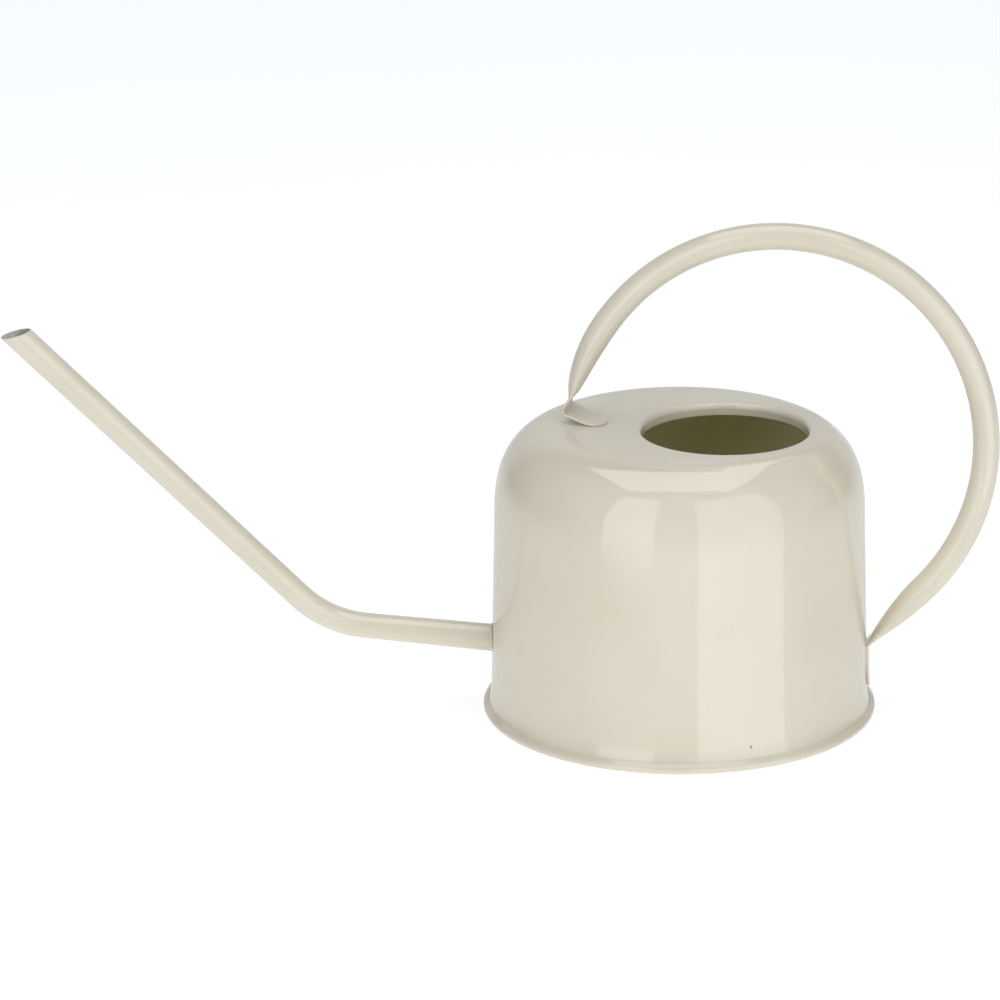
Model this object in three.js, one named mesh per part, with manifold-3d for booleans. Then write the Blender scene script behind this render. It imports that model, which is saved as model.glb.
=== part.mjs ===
// Indoor watering can in powder-coated sheet steel, in millimetres, +Z up.
// The origin is on the standing plane under the body's axis, before the whole can is centred on its own box.
// The spout points along -X and the handle arches over towards +X.
import * as THREE from 'three';
import { mergeVertices } from 'three/addons/utils/BufferGeometryUtils.js';
import Module from 'manifold-3d';

const wasm = await Module();
wasm.setup();

// ---- driving dimensions ----
const CLEARANCE = 0.3;            // gap kept between pieces that touch
const SHEET = 0.6;                // body and base sheet with its coating
const ROUND_SEGMENTS = 56;        // facets round the body's axis

const WALL_RADIUS = 65.5;         // body, outside, at the top of the flare
const WALL_DRAFT = THREE.MathUtils.degToRad(1.33);
const BODY_HEIGHT = 103.2;        // flat top, outside
const FLARE_TOP = 9;              // where the wall starts to turn out to the seam
const FLARE_RADIUS = 17;
const FLARE_ANGLE = THREE.MathUtils.degToRad(24);
const SHOULDER_WIDTH = 25.4;      // shoulder measured inwards from the wall
const SHOULDER_HEIGHT = 30.4;     // shoulder measured down from the top
const SHOULDER_POWER = 2.48;      // superellipse exponent: 2 would be an ellipse

const FILLER_CENTRE = new THREE.Vector2(15.5, -5.3);
const FILLER_RADIUS = 28.6;       // clear radius inside the turned-down lip
const LIP_BEND = 2;               // outside radius of the lip's roll
const LIP_DEPTH = 4.2;            // top of the roll to the lip's cut edge
const LIP_FLAT = 32;              // sheet pressed flat out to here round the filler
const LIP_FADE = 42;              // and back on the body's own shape from here

const RIM_RADIUS = 68.4;          // outside of the rolled bottom seam
const RIM_HEIGHT = 3.1;
const RIM_FOLD_END = THREE.MathUtils.degToRad(75);  // the fold stops short of the body's flare
const SEAL_WIDTH = 2.4;
const BASE_RECESS = 2.4;          // base panel above the standing ring
const BASE_PANEL_RADIUS = 58;
const BASE_STEP = 3;              // run of the sloping step down to the standing ring

const TUBE_DIAMETER = 9.5;        // spout and handle start as the same tube
const TUBE_WALL = 0.5;

const SPOUT_START_X = -62.4;      // open end inside the body
const SPOUT_ROOT_Z = 24.5;        // height of the spout's axis at that end
const SPOUT_RISE = THREE.MathUtils.degToRad(5.7);
const SPOUT_CLIMB = THREE.MathUtils.degToRad(44.9);
const SPOUT_CORNER_X = -122.7;    // where the two straight runs would meet
const SPOUT_BEND_RADIUS = 38;
const SPOUT_TIP_X = -227.6;       // where the tube's axis meets the slanting cut
const SPOUT_CUT_TILT = THREE.MathUtils.degToRad(12);
const HOLE_ROD_LENGTH = 8;        // rod that pierces the wall for the spout
const HOLE_ROD_MIDDLE = 2.5;      // its middle, outwards from the spout's open end
const HOLE_SEGMENTS = 24;
const BRAZE_FILLET = 1.8;
const BRAZE_EDGE = 0.5;           // thickness of the fillet's free edge
const BRAZE_ROOT = 1.2;           // depth behind the fillet, before it is trimmed to the wall
const BRAZE_INSET = 1;            // fillet's root, inwards from the wall

const HANDLE_YAW = 0.06;          // the handle stands slightly askew of the spout
const HANDLE_CENTRE = new THREE.Vector2(33.6, 95.3);
const HANDLE_HALF_WIDTH = 71.5;   // to the tube's axis
const HANDLE_HALF_HEIGHT = 73.7;
const HANDLE_THICKNESS = 9.15;    // the bent tube is slightly squeezed over the arch
const TAB_THICKNESS = 2 * TUBE_WALL + CLEARANCE;
const TAB_CORNER = 4.5;           // corner radius of the flattened ends
const FRONT_TAB_END = new THREE.Vector2(-25.1, BODY_HEIGHT + 1);
const FRONT_TAB_KINK = new THREE.Vector2(-30.8, BODY_HEIGHT + 1);
const FRONT_BEND = new THREE.Vector2(-39.2, BODY_HEIGHT + 4);
const FRONT_STRIP_TOP = new THREE.Vector2(-37, BODY_HEIGHT + 8.6);
const FRONT_LEG_DIRECTION = new THREE.Vector2(0.27, 0.96).normalize();
const FRONT_OVAL_FROM = THREE.MathUtils.degToRad(134);
const FRONT_TAB_TWIST = THREE.MathUtils.degToRad(-14);
const REAR_OVAL_TO = THREE.MathUtils.degToRad(-44);
const REAR_BEND_Z = 23.2;
const REAR_TAB_BOTTOM = 8.6;
const REAR_TAB_GAP = 1.5 * CLEARANCE;  // the tab is flat and the wall is round, so it stands a little off
const REAR_SKEW = -0.16;          // the far edge bends lower than the near edge
const TAB_BEND_REACH = 2.6;       // run of each sharp bend, along both sides of its corner
// How the tube opens from a strip to full thickness: strip length, run and power of the rise.
const FRONT_OPENING = { strip: 19.4, run: 28, power: 0.45 };
const REAR_OPENING = { strip: 14.9, run: 28, power: 0.86 };
// The front tab's twist dies out across the end of its strip, and the rear skew beyond its own.
const TWIST_FADE = { before: 7, after: 3 };
const SKEW_FADE = { after: 5, run: 25 };
const FRONT_TAB_LENGTH = 15.4;    // along the tube, from its end to the strip's upright part

// ---- outlines ----
function arc(centre, radius, from, to, steps) {
  const points = [];
  for (let i = 0; i <= steps; i++) {
    const a = from + (to - from) * i / steps;
    points.push(new THREE.Vector2(centre.x + radius * Math.cos(a), centre.y + radius * Math.sin(a)));
  }
  return points;
}

function wallRadius(z) {
  return WALL_RADIUS - Math.tan(WALL_DRAFT) * (z - FLARE_TOP);
}

const SHOULDER_START = BODY_HEIGHT - SHOULDER_HEIGHT;
const TOP_RADIUS = wallRadius(SHOULDER_START) - SHOULDER_WIDTH;

// Height of the body's outer surface over a point at radius r: flat top, then the shoulder.
function revolvedTop(r) {
  const u = THREE.MathUtils.clamp((r - TOP_RADIUS) / SHOULDER_WIDTH, 0, 1);
  return SHOULDER_START + SHOULDER_HEIGHT * Math.pow(1 - Math.pow(u, SHOULDER_POWER), 1 / SHOULDER_POWER);
}

// The same, with the sheet pressed level round the filler.
function topHeight(x, y) {
  const fromFiller = Math.hypot(x - FILLER_CENTRE.x, y - FILLER_CENTRE.y);
  const level = 1 - THREE.MathUtils.smoothstep(fromFiller, LIP_FLAT, LIP_FADE);
  return THREE.MathUtils.lerp(revolvedTop(Math.hypot(x, y)), BODY_HEIGHT, level);
}

// Points moved to their left by a distance, each along the bisector of its neighbours.
function offset(points, distance) {
  return points.map((p, i) => {
    const before = points[Math.max(i - 1, 0)];
    const after = points[Math.min(i + 1, points.length - 1)];
    const along = after.clone().sub(before).normalize();
    return new THREE.Vector2(p.x - along.y * distance, p.y + along.x * distance);
  });
}

// ---- solids ----
function closed(geometry) {
  geometry.deleteAttribute('normal');
  geometry.deleteAttribute('uv');
  const merged = mergeVertices(geometry, 1e-4);
  const p = merged.getAttribute('position');
  const index = merged.getIndex().array;
  const [a, b, c] = [new THREE.Vector3(), new THREE.Vector3(), new THREE.Vector3()];
  const kept = [];
  let volume = 0;
  for (let i = 0; i < index.length; i += 3) {
    if (index[i] === index[i + 1] || index[i + 1] === index[i + 2] || index[i] === index[i + 2]) continue;
    kept.push(index[i], index[i + 1], index[i + 2]);
    a.fromBufferAttribute(p, index[i]);
    b.fromBufferAttribute(p, index[i + 1]);
    c.fromBufferAttribute(p, index[i + 2]);
    volume += a.dot(b.cross(c));
  }
  merged.setIndex(volume < 0 ? kept.reverse() : kept);
  return merged;
}

// A closed outline of (radius, height) points turned about the Z axis.
function turned(outline, segments = ROUND_SEGMENTS) {
  const lathe = new THREE.LatheGeometry([...outline, outline[0]], segments);
  return closed(lathe.rotateX(Math.PI / 2));
}

function toManifold(geometry) {
  return new wasm.Manifold(new wasm.Mesh({
    numProp: 3,
    vertProperties: new Float32Array(geometry.getAttribute('position').array),
    triVerts: new Uint32Array(geometry.getIndex().array),
  }));
}

function cut(geometry, tool) {
  const mesh = toManifold(geometry).subtract(toManifold(tool)).getMesh();
  const result = new THREE.BufferGeometry();
  result.setAttribute('position', new THREE.BufferAttribute(Float32Array.from(mesh.vertProperties), 3));
  result.setIndex(Array.from(mesh.triVerts));
  return result;
}

// Skins rings of points, all of one length, into a solid tube: outside rings, then the bore back again.
function skinned(outerRings, innerRings) {
  const rings = [...outerRings, ...innerRings.slice().reverse()];
  const count = rings[0].length;
  const index = [];
  rings.forEach((ring, i) => {
    const next = (i + 1) % rings.length;
    for (let j = 0; j < count; j++) {
      const k = (j + 1) % count;
      index.push(i * count + j, i * count + k, next * count + k);
      index.push(i * count + j, next * count + k, next * count + j);
    }
  });
  const geometry = new THREE.BufferGeometry().setFromPoints(rings.flat());
  geometry.setIndex(index);
  return closed(geometry);
}

// A tube's section pressed to a thickness: flat faces joined by half rounds, its girth unchanged.
function pressedSection(thickness, girthDiameter, sides, narrowing = 0) {
  const flat = Math.max(Math.PI * (girthDiameter - thickness) / 2 - narrowing, 0);
  const points = [];
  for (let j = 0; j < sides; j++) {
    const a = 2 * Math.PI * (j + 0.5) / sides;
    const side = Math.sign(Math.cos(a)) * flat / 2;
    points.push(new THREE.Vector2(side + Math.cos(a) * thickness / 2, Math.sin(a) * thickness / 2));
  }
  return points;
}

// Places a section at a point of a path: its x along the width direction, its y square to both.
function placed(section, point, tangent, width) {
  const across = width.clone().addScaledVector(tangent, -width.dot(tangent)).normalize();
  const up = new THREE.Vector3().crossVectors(tangent, across);
  return section.map((q) => point.clone().addScaledVector(across, q.x).addScaledVector(up, q.y));
}

// ---- body shell: wall, shoulder and lip in one drawn sheet ----
function bodyShell() {
  const flareCentre = new THREE.Vector2(WALL_RADIUS + FLARE_RADIUS, FLARE_TOP);
  const flare = arc(flareCentre, FLARE_RADIUS, Math.PI + FLARE_ANGLE, Math.PI, 4);
  const shoulder = [];
  const shoulderSteps = 9;
  for (let i = 0; i <= shoulderSteps; i++) {
    const t = 0.5 * Math.PI * i / shoulderSteps;
    const r = TOP_RADIUS + SHOULDER_WIDTH * Math.pow(Math.cos(t), 2 / SHOULDER_POWER);
    const z = SHOULDER_START + SHOULDER_HEIGHT * Math.pow(Math.sin(t), 2 / SHOULDER_POWER);
    shoulder.push(new THREE.Vector2(r, z));
  }
  const rollRadius = FILLER_RADIUS + LIP_BEND;
  const rollCentre = new THREE.Vector2(rollRadius, BODY_HEIGHT - LIP_BEND);
  const top = [new THREE.Vector2((TOP_RADIUS + rollRadius) / 2, BODY_HEIGHT)];
  const roll = arc(rollCentre, LIP_BEND, Math.PI / 2, Math.PI, 3);
  const edge = new THREE.Vector2(FILLER_RADIUS, BODY_HEIGHT - LIP_DEPTH);
  const outside = [...flare, ...shoulder, ...top, ...roll, edge];
  const inside = offset(outside, SHEET);
  const lathe = turned([...outside, ...inside.reverse()]);

  // Slide the rings of the top towards the filler, each keeping its depth below the outer surface.
  const p = lathe.getAttribute('position');
  const slideFrom = wallRadius(SHOULDER_START);
  const lowestSlid = SHOULDER_START + 1;
  for (let i = 0; i < p.count; i++) {
    const r = Math.hypot(p.getX(i), p.getY(i));
    if (p.getZ(i) < lowestSlid) continue;
    const slide = THREE.MathUtils.smoothstep(slideFrom - r, 0, slideFrom - rollRadius);
    const x = p.getX(i) + slide * FILLER_CENTRE.x;
    const y = p.getY(i) + slide * FILLER_CENTRE.y;
    p.setXYZ(i, x, y, p.getZ(i) + topHeight(x, y) - revolvedTop(r));
  }
  return cut(lathe, spoutHole());
}

// ---- base: a stamped disc whose edge is folded up and over the body's flare ----
function baseDisc() {
  const roll = RIM_HEIGHT / 2;
  const rollCentre = new THREE.Vector2(RIM_RADIUS - roll, roll);
  const outside = [
    new THREE.Vector2(0.01, BASE_RECESS),
    new THREE.Vector2(BASE_PANEL_RADIUS, BASE_RECESS),
    new THREE.Vector2(BASE_PANEL_RADIUS + BASE_STEP, 0),
    ...arc(rollCentre, roll, -Math.PI / 2, RIM_FOLD_END, 6),
  ];
  const inside = offset(outside, SHEET);
  outside[0].x = 0;
  inside[0].x = 0;
  const outline = [...outside, ...inside.reverse()];
  return closed(new THREE.LatheGeometry(outline, ROUND_SEGMENTS).rotateX(Math.PI / 2));
}

// ---- sealing compound lying in the fold under the body's edge ----
function baseSeal() {
  const outer = RIM_RADIUS - SHEET - 2 * CLEARANCE;
  const bottom = SHEET + CLEARANCE;
  const edge = FLARE_TOP - FLARE_RADIUS * Math.sin(FLARE_ANGLE) - SHEET * Math.sin(FLARE_ANGLE);
  const top = edge - CLEARANCE;
  return turned([
    new THREE.Vector2(outer - SEAL_WIDTH, bottom),
    new THREE.Vector2(outer, bottom),
    new THREE.Vector2(outer, top),
    new THREE.Vector2(outer - SEAL_WIDTH, top),
  ]);
}

// ---- spout ----
function spoutPath() {
  const rise = new THREE.Vector2(-Math.cos(SPOUT_RISE), Math.sin(SPOUT_RISE));
  const climb = new THREE.Vector2(-Math.cos(SPOUT_CLIMB), Math.sin(SPOUT_CLIMB));
  const start = new THREE.Vector2(SPOUT_START_X, SPOUT_ROOT_Z);
  const corner = start.clone().addScaledVector(rise, (SPOUT_CORNER_X - SPOUT_START_X) / rise.x);
  const tangentLength = SPOUT_BEND_RADIUS * Math.tan((SPOUT_CLIMB - SPOUT_RISE) / 2);
  const bendStart = corner.clone().addScaledVector(rise, -tangentLength);
  const centre = bendStart.clone().add(new THREE.Vector2(-rise.y, rise.x).multiplyScalar(-SPOUT_BEND_RADIUS));
  const tipLength = (SPOUT_TIP_X - corner.x) / climb.x;
  return { start, rise, climb, corner, tangentLength, bendStart, centre, tipLength };
}

// Spout thickness seen from the side: the bend squeezes the tube, and both ends are nearly round.
function spoutThickness(fraction) {
  const squeezed = 0.9;
  const bendAt = 0.3;
  const spread = 0.22;
  const atBend = Math.exp(-Math.pow((fraction - bendAt) / spread, 2));
  return TUBE_DIAMETER * (1 - (1 - squeezed) * atBend);
}

function spoutTube() {
  const { start, rise, climb, corner, tangentLength, bendStart, centre, tipLength } = spoutPath();
  const stations = [];
  const rootLength = start.distanceTo(bendStart);
  for (const f of [0, 0.2, 0.4, 0.6, 0.8]) {
    stations.push([start.clone().addScaledVector(rise, rootLength * f), rise]);
  }
  const bendSteps = 7;
  for (let i = 0; i <= bendSteps; i++) {
    const a = THREE.MathUtils.lerp(SPOUT_RISE, SPOUT_CLIMB, i / bendSteps);
    const out = new THREE.Vector2(-Math.sin(a), -Math.cos(a));
    const tangent = new THREE.Vector2(-Math.cos(a), Math.sin(a));
    stations.push([centre.clone().addScaledVector(out, SPOUT_BEND_RADIUS), tangent]);
  }
  const climbLength = tipLength - tangentLength;
  const lastStraight = 6;
  for (let i = 1; i <= lastStraight; i++) {
    const along = tangentLength + (climbLength - TUBE_DIAMETER) * i / lastStraight;
    stations.push([corner.clone().addScaledVector(climb, along), climb]);
  }
  const sides = 16;
  const width = new THREE.Vector3(0, 1, 0);
  const total = stations.length;
  const ringAt = ([q, t], i, wall) => {
    const thickness = spoutThickness(i / total) - 2 * wall;
    const section = pressedSection(thickness, TUBE_DIAMETER - 2 * wall, sides);
    return placed(section, new THREE.Vector3(q.x, 0, q.y), new THREE.Vector3(t.x, 0, t.y), width);
  };
  const outer = stations.map((s, i) => ringAt(s, i, 0));
  const inner = stations.map((s, i) => ringAt(s, i, TUBE_WALL));

  // The tip is cut nearly level: the last rings slide along the tube onto the cutting plane.
  const planeNormal = new THREE.Vector3(-Math.sin(SPOUT_CUT_TILT), 0, Math.cos(SPOUT_CUT_TILT));
  const tip = corner.clone().addScaledVector(climb, tipLength);
  const planePoint = new THREE.Vector3(tip.x, 0, tip.y);
  const along = new THREE.Vector3(climb.x, 0, climb.y);
  for (const rings of [outer, inner]) {
    rings.push(rings[total - 1].map((q) => {
      const reach = planePoint.clone().sub(q).dot(planeNormal) / along.dot(planeNormal);
      return q.clone().addScaledVector(along, reach);
    }));
  }
  return skinned(outer, inner);
}

// A solid rod on the spout's root axis, with room round the tube, that pierces the wall.
function spoutHole() {
  const radius = TUBE_DIAMETER / 2 + CLEARANCE;
  const rod = new THREE.CylinderGeometry(radius, radius, HOLE_ROD_LENGTH, HOLE_SEGMENTS);
  const { start, rise } = spoutPath();
  const middle = start.clone().addScaledVector(rise, HOLE_ROD_MIDDLE);
  rod.rotateZ(Math.PI / 2).rotateY(SPOUT_RISE).translate(middle.x, 0, middle.y);
  return closed(rod);
}

// ---- brazing ring round the spout's stub, inside the wall ----
function spoutBraze() {
  const bore = TUBE_DIAMETER / 2 + CLEARANCE;
  const ring = turned([
    new THREE.Vector2(bore, -BRAZE_FILLET),
    new THREE.Vector2(bore + BRAZE_EDGE, -BRAZE_FILLET),
    new THREE.Vector2(bore + BRAZE_FILLET, 0),
    new THREE.Vector2(bore + BRAZE_FILLET, BRAZE_ROOT),
    new THREE.Vector2(bore, BRAZE_ROOT),
  ], HOLE_SEGMENTS);
  ring.rotateY(-Math.PI / 2 + SPOUT_RISE);
  const inner = wallRadius(SPOUT_ROOT_Z) - SHEET - CLEARANCE;
  ring.translate(-inner + BRAZE_INSET, 0, SPOUT_ROOT_Z);
  const trimHeight = 40;
  const trimDepth = 10;
  const trimSegments = 120;
  const outsideOfWall = turned([
    new THREE.Vector2(inner, 0),
    new THREE.Vector2(inner + trimDepth, 0),
    new THREE.Vector2(inner + trimDepth, trimHeight),
    new THREE.Vector2(inner, trimHeight),
  ], trimSegments);
  return cut(ring, outsideOfWall);
}

// ---- handle: one tube, both ends pressed flat and bent into tabs ----
// Centre line in the handle's own upright plane: (x, height).
function handlePath() {
  const path = new THREE.CurvePath();
  const onOval = (a) => new THREE.Vector2(HANDLE_HALF_WIDTH * Math.cos(a), HANDLE_HALF_HEIGHT * Math.sin(a))
    .add(HANDLE_CENTRE);
  const alongOval = (a) => {
    const slope = new THREE.Vector2(HANDLE_HALF_WIDTH * Math.sin(a), -HANDLE_HALF_HEIGHT * Math.cos(a));
    return slope.normalize();
  };
  const sweep = (from, leaving, to, arriving) => {
    const third = from.distanceTo(to) / 3;
    const first = from.clone().addScaledVector(leaving, third);
    const second = to.clone().addScaledVector(arriving, -third);
    path.add(new THREE.CubicBezierCurve(from, first, second, to));
  };
  const rearX = wallRadius(REAR_BEND_Z) + TAB_THICKNESS / 2 + REAR_TAB_GAP;
  const rearBend = new THREE.Vector2(rearX, REAR_BEND_Z);
  const rearLean = wallRadius(REAR_TAB_BOTTOM) - wallRadius(REAR_BEND_Z);
  const rearEnd = new THREE.Vector2(rearX + rearLean, REAR_TAB_BOTTOM);
  const frontOval = onOval(FRONT_OVAL_FROM);
  const rearOval = onOval(REAR_OVAL_TO);

  // Rounds one corner and draws the straight run that leads into it.
  let at = FRONT_TAB_END;
  const corner = (point, next) => {
    const before = point.clone().add(at.clone().sub(point).setLength(TAB_BEND_REACH));
    const after = point.clone().add(next.clone().sub(point).setLength(TAB_BEND_REACH));
    if (before.distanceTo(at) > CLEARANCE) path.add(new THREE.LineCurve(at, before));
    path.add(new THREE.QuadraticBezierCurve(before, point, after));
    at = after;
  };
  corner(FRONT_TAB_KINK, FRONT_BEND);
  corner(FRONT_BEND, FRONT_STRIP_TOP);
  path.add(new THREE.LineCurve(at, FRONT_STRIP_TOP));
  sweep(FRONT_STRIP_TOP, FRONT_LEG_DIRECTION, frontOval, alongOval(FRONT_OVAL_FROM));
  path.add(new THREE.EllipseCurve(HANDLE_CENTRE.x, HANDLE_CENTRE.y, HANDLE_HALF_WIDTH, HANDLE_HALF_HEIGHT,
    FRONT_OVAL_FROM, REAR_OVAL_TO, true));
  const down = rearBend.clone().sub(rearOval).normalize();
  const approach = rearBend.clone().addScaledVector(down, -2 * TAB_BEND_REACH);
  sweep(rearOval, alongOval(REAR_OVAL_TO), approach, down);
  at = approach;
  corner(rearBend, rearEnd);
  path.add(new THREE.LineCurve(at, rearEnd));
  return path;
}

function opened(distance, opening) {
  const t = THREE.MathUtils.clamp((distance - opening.strip) / opening.run, 0, 1);
  return Math.pow(Math.sin(0.5 * Math.PI * t), opening.power);
}

// Distances of the handle's rings from either end: close at the tab and its bend, then wider.
function ringDistances(total) {
  const near = [0, 0.25, 0.5, 0.75, 1].map((f) => f * TAB_CORNER);
  const bends = { from: TAB_CORNER + 2.5, to: 32, step: 1.8 };
  const swelling = { from: 34, to: 60, step: 5 };
  const arch = { from: 68, to: total - 62, step: 10 };
  for (const run of [bends, swelling]) {
    for (let s = run.from; s <= run.to; s += run.step) near.push(s);
  }
  const all = [...near, ...near.map((s) => total - s)];
  for (let s = arch.from; s < arch.to; s += arch.step) all.push(s);
  return all.sort((a, b) => a - b);
}

function handleTube() {
  const path = handlePath();
  const total = path.getLength();
  const sides = 14;
  const outer = [];
  const inner = [];
  for (const s of ringDistances(total)) {
    const q = path.getPointAt(s / total);
    const t = path.getTangentAt(s / total);
    const fromRear = total - s;
    const share = Math.min(opened(s, FRONT_OPENING), opened(fromRear, REAR_OPENING));
    const thickness = THREE.MathUtils.lerp(TAB_THICKNESS, HANDLE_THICKNESS, share);
    const corner = Math.max(TAB_CORNER - Math.min(s, fromRear), 0) / TAB_CORNER;
    const narrowing = 2 * TAB_CORNER * (1 - Math.sqrt(1 - corner * corner));
    const twistFrom = FRONT_OPENING.strip - TWIST_FADE.before;
    const twistTo = FRONT_OPENING.strip + TWIST_FADE.after;
    const twist = FRONT_TAB_TWIST * (1 - THREE.MathUtils.smoothstep(s, twistFrom, twistTo));
    const skewFrom = REAR_OPENING.strip + SKEW_FADE.after;
    const skew = REAR_SKEW * (1 - THREE.MathUtils.smoothstep(fromRear, skewFrom, skewFrom + SKEW_FADE.run));
    const width = new THREE.Vector3(-Math.sin(twist), Math.cos(twist), skew);
    const pastBend = s < FRONT_TAB_LENGTH ? Math.max(q.x - FRONT_BEND.x, 0) : 0;
    const point = new THREE.Vector3(q.x, Math.tan(FRONT_TAB_TWIST) * pastBend, q.y);
    const tangent = new THREE.Vector3(t.x, 0, t.y);
    const skin = pressedSection(thickness, TUBE_DIAMETER, sides, narrowing);
    const bore = pressedSection(thickness - 2 * TUBE_WALL, TUBE_DIAMETER - 2 * TUBE_WALL, sides, narrowing);
    outer.push(placed(skin, point, tangent, width));
    inner.push(placed(bore, point, tangent, width));
  }
  const tube = skinned(outer, inner);
  const p = tube.getAttribute('position');
  const pivot = wallRadius(REAR_BEND_Z);
  for (let i = 0; i < p.count; i++) p.setY(i, p.getY(i) + (pivot - p.getX(i)) * HANDLE_YAW);
  return tube;
}

// ---- assembly ----
const cream = new THREE.MeshStandardMaterial({ color: 0xe3ddc9, roughness: 0.22, metalness: 0 });
const sealGrey = new THREE.MeshStandardMaterial({ color: 0x7d7a70, roughness: 0.8, metalness: 0 });
const brass = new THREE.MeshStandardMaterial({ color: 0xb59a5a, roughness: 0.45, metalness: 0.9 });

function piece(name, geometry, material) {
  const mesh = new THREE.Mesh(geometry, material);
  mesh.name = name;
  return mesh;
}

const group = new THREE.Group();
group.add(
  piece('body_shell', bodyShell(), cream),
  piece('base_disc', baseDisc(), cream),
  piece('base_seal', baseSeal(), sealGrey),
  piece('spout_tube', spoutTube(), cream),
  piece('spout_braze', spoutBraze(), brass),
  piece('handle_tube', handleTube(), cream),
);

// Centre the can on its own box in plan, so that the origin is the middle of its footprint.
const bounds = new THREE.Box3().setFromObject(group);
const middle = bounds.getCenter(new THREE.Vector3());
group.position.set(-middle.x, -middle.y, -bounds.min.z);
group.updateMatrixWorld(true);

export default group;
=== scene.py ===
import math

import bpy
import numpy as np
from mathutils import Matrix, Vector


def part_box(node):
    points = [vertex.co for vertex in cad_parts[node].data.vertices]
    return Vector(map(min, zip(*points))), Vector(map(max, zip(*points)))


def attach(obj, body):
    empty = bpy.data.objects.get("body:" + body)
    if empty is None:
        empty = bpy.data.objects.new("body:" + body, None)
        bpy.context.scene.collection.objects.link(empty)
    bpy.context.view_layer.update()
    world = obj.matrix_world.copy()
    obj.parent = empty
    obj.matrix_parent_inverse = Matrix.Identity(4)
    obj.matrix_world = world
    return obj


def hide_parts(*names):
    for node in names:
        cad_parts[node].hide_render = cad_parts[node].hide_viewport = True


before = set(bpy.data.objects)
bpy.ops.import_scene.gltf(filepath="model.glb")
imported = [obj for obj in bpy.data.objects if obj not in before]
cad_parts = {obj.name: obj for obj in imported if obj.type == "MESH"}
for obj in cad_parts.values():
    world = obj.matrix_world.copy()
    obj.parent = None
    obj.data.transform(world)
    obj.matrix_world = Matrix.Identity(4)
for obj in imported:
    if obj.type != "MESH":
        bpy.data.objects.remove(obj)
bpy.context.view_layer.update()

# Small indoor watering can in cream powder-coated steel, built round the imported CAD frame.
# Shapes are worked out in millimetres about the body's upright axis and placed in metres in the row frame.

MM = 0.001

# ---- places taken from the frame ----
BASE_LOW, BASE_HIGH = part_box("base_disc")
SHELL_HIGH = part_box("body_shell")[1]
HANDLE_LOW, HANDLE_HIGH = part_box("handle_tube")
AXIS = Vector(((BASE_LOW.x + BASE_HIGH.x) / 2, (BASE_LOW.y + BASE_HIGH.y) / 2, BASE_LOW.z))
BODY_HEIGHT = (SHELL_HIGH.z - BASE_LOW.z) / MM
RIM_RADIUS = (BASE_HIGH.y - BASE_LOW.y) / 2 / MM
REAR_TAB_BOTTOM = (HANDLE_LOW.z - BASE_LOW.z) / MM

# ---- driving dimensions, in millimetres ----
SHEET = 0.6
WALL_RADIUS = 65.5
WALL_DRAFT = math.radians(1.33)
FLARE_TOP = 9.0
FLARE_RADIUS = 17.0
FLARE_ANGLE = math.radians(25.4)
SHOULDER_WIDTH = 25.4
SHOULDER_HEIGHT = 30.4
SHOULDER_POWER = 2.48
SHOULDER_EASE = 5.0         # run over which the wall's draft dies out into the shoulder
TOP_CROWN = 0.35

FILLER_X, FILLER_Y = 15.5, -5.3
FILLER_RADIUS = 28.6
LIP_BEND = 2.0
LIP_DEPTH = 4.2
LIP_FLAT = 32.0
LIP_FADE = 42.0

RIM_ROLL_RADIUS = 1.47
RIM_FOLD_END = math.radians(50)
RIM_FOLD_INSIDE_END = math.radians(70)
RIM_FOLD_TOP = 3.7          # the coat fills the seam, so the fold runs out thinly on the flare up to here
RIM_FEATHER = 0.07          # gap between that edge and the flare, and its thickness
BASE_RECESS = 2.4
BASE_PANEL_RADIUS = 58.0
BASE_STEP = 3.0

TUBE_DIAMETER = 9.5
TUBE_WALL = 0.4
SPOUT_START_X = -62.4
SPOUT_ROOT_Z = 24.5
SPOUT_RISE = math.radians(5.7)
SPOUT_CLIMB = math.radians(44.9)
SPOUT_CORNER_X = -122.7
SPOUT_BEND_RADIUS = 38.0
SPOUT_TIP_X = -227.6
SPOUT_CUT_TILT = math.radians(14.5)
SPOUT_ROOT_THICKNESS = 9.6
SPOUT_BEND_THICKNESS = 8.65
SPOUT_TIP_THICKNESS = 9.4
COAT_FILLET = 0.9
FILLET_GAP = 0.04

HANDLE_YAW = 0.06
HANDLE_CENTRE = np.array([33.6, 95.3])
HANDLE_HALF_WIDTH = 71.5
HANDLE_THICKNESS = 9.15
HANDLE_HALF_HEIGHT = (HANDLE_HIGH.z - BASE_LOW.z) / MM - HANDLE_CENTRE[1] - HANDLE_THICKNESS / 2
TAB_THICKNESS = 0.9
TAB_GAP = 0.06
TAB_CORNER = 4.5
TAB_CORNER_POWER = 1.25     # 1 would be a straight chamfer, 2 a round corner
FRONT_TAB_END = np.array([-25.1, BODY_HEIGHT + 0.36])
FRONT_TAB_KINK = np.array([-30.8, BODY_HEIGHT + 0.34])
FRONT_BEND = np.array([-39.2, BODY_HEIGHT + 3.8])
FRONT_STRIP_TOP = np.array([-37.0, BODY_HEIGHT + 8.6])
FRONT_TAB_TWIST = math.radians(-14)
REAR_BEND_Z = 23.2
REAR_SKEW = -0.16           # the far edge of the handle bends lower than the near edge

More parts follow.
